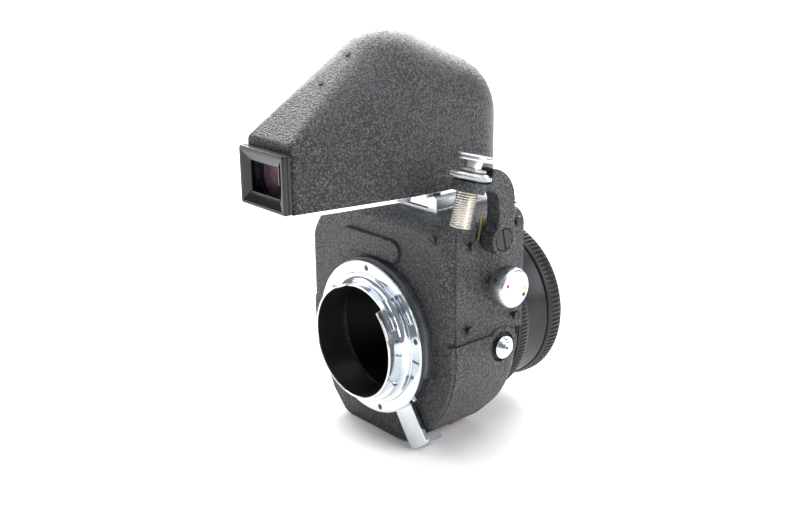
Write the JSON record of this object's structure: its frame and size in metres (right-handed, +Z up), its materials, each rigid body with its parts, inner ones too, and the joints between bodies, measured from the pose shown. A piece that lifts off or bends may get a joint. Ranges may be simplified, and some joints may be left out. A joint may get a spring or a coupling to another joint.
{
  "type": "mirror reflex housing",
  "caption": "Mirror reflex housing with an eye-level magnifying finder, rear lug bayonet with lock lever, release arm and a focusing mount.",
  "frame": {"origin": "centre of the camera flange face, on the optical axis", "axes": "+X to the user's right, +Y towards the lens, +Z up towards the finder"},
  "size_m": [0.0841, 0.1095, 0.1433],
  "materials": {
    "wrinkle_black": "wrinkle enamel",
    "chrome": "satin chrome",
    "satin_steel": "satin",
    "dark_screw": "blackened",
    "grey_ring": "matte",
    "flat_black": "flat",
    "black_anodised": "satin anodised",
    "gloss_black": "gloss",
    "brass": "satin",
    "paint_dots": "gloss",
    "mirror_glass": "first surface",
    "optical_glass": "clear"
  },
  "bodies": {
    "housing": {"lower_housing": "wrinkle_black", "rear_plate": "wrinkle_black", "upper_cover": "wrinkle_black", "mirror_box": "flat_black", "side_cover": "wrinkle_black", "side_cover_screws": "dark_screw", "rear_screw": "dark_screw", "blank_plate": "wrinkle_black", "backing_ring": "grey_ring", "rear_flange": "chrome", "flange_screws": "dark_screw", "flange_stop": "chrome", "red_index": "paint_dots", "front_flange": "chrome", "front_flange_screws": "dark_screw", "screen_frame": "flat_black", "focusing_screen": "optical_glass", "finder_shoe": "chrome", "arm_pivot_screw": "dark_screw", "arm_spring": "brass", "focus_base": "black_anodised", "focus_grip_ring": "black_anodised", "focus_barrel": "black_anodised", "focus_key": "brass"},
    "bayonet": {"bayonet_ring": "chrome", "lock_lever": "chrome"},
    "release_arm": {"release_arm": "wrinkle_black"},
    "plunger": {"plunger_barrel": "satin_steel"},
    "lock_nut": {"plunger_lock_nut": "satin_steel"},
    "push_button": {"plunger_button": "satin_steel"},
    "mirror": {"mirror_shaft": "satin_steel", "mirror_frame": "flat_black", "mirror_glass": "mirror_glass", "mirror_crank": "satin_steel"},
    "mirror_knob": {"knob": "chrome", "knob_shaft": "satin_steel", "knob_set_screw": "dark_screw", "knob_dots": "paint_dots"},
    "lens_release": {"lens_release_button": "chrome"},
    "lens_lock": {"lens_lock_pin": "satin_steel"},
    "finder": {"finder_base": "chrome", "finder_shell": "wrinkle_black", "finder_prism": "optical_glass", "field_lens": "optical_glass", "eyepiece_tube": "flat_black", "eyepiece_lens": "optical_glass", "eyepiece_frame": "gloss_black", "finder_screws": "dark_screw"},
    "finder_catch": {"finder_catch": "chrome"},
    "focus_ring": {"focus_ring": "black_anodised"},
    "lens_seat": {"lens_seat": "black_anodised"}
  },
  "joints": [
    {"name": "bayonet_turn", "type": "hinge", "parent": "housing", "child": "bayonet", "pos_m": [0, 0, 0], "axis": [0, -1, 0], "range_deg": [0, 26]},
    {"name": "arm_swing", "type": "hinge", "parent": "housing", "child": "release_arm", "pos_m": [0.0368, 0.0232, 0.0404], "axis": [1, 0, 0], "range_deg": [0, 9], "stiffness_Nm_per_rad": 0.4, "springref_deg": -5.73},
    {"name": "plunger_height", "type": "slide", "parent": "release_arm", "child": "plunger", "axis": [0, 0.2723, 0.9622], "range_m": [0, 0.005]},
    {"name": "lock_nut_turn", "type": "hinge", "parent": "release_arm", "child": "lock_nut", "pos_m": [0.0394, 0.0061, 0.0472], "axis": [0, 0.2723, 0.9622], "range_deg": [0, 340]},
    {"name": "button_press", "type": "slide", "parent": "plunger", "child": "push_button", "axis": [0, -0.2723, -0.9622], "range_m": [0, 0.0018], "stiffness_N_per_m": 150, "springref_m": -0.001},
    {"name": "mirror_swing", "type": "hinge", "parent": "housing", "child": "mirror", "pos_m": [0, 0.0089, 0.02], "axis": [1, 0, 0], "range_deg": [0, 45]},
    {"name": "knob_turn", "type": "hinge", "parent": "housing", "child": "mirror_knob", "pos_m": [0.039, 0.0257, 0.0237], "axis": [1, 0, 0], "range_deg": [0, 120]},
    {"name": "lens_release_press", "type": "slide", "parent": "housing", "child": "lens_release", "axis": [-1, 0, 0], "range_m": [0, 0.0012], "stiffness_N_per_m": 250, "springref_m": -0.0008},
    {"name": "lens_lock_slide", "type": "slide", "parent": "housing", "child": "lens_lock", "axis": [0, -1, 0], "range_m": [0, 0.0012]},
    {"name": "finder_slide", "type": "slide", "parent": "housing", "child": "finder", "axis": [0, -1, 0], "range_m": [0, 0.03]},
    {"name": "catch_press", "type": "slide", "parent": "housing", "child": "finder_catch", "axis": [0, 0, -1], "range_m": [0, 0.001], "stiffness_N_per_m": 250, "springref_m": -0.001},
    {"name": "focus_turn", "type": "hinge", "parent": "housing", "child": "focus_ring", "pos_m": [0, 0.041, 0], "axis": [0, 1, 0], "range_deg": [0, 200]},
    {"name": "focus_slide", "type": "slide", "parent": "housing", "child": "lens_seat", "axis": [0, 1, 0], "range_m": [0, 0.008]}
  ],
  "couplings": [
    {"joint": "mirror_swing", "follows": "arm_swing", "ratio": 5},
    {"joint": "lens_lock_slide", "follows": "lens_release_press", "ratio": 1},
    {"joint": "focus_slide", "follows": "focus_turn", "m_per_rad": 0.0022916}
  ]
}
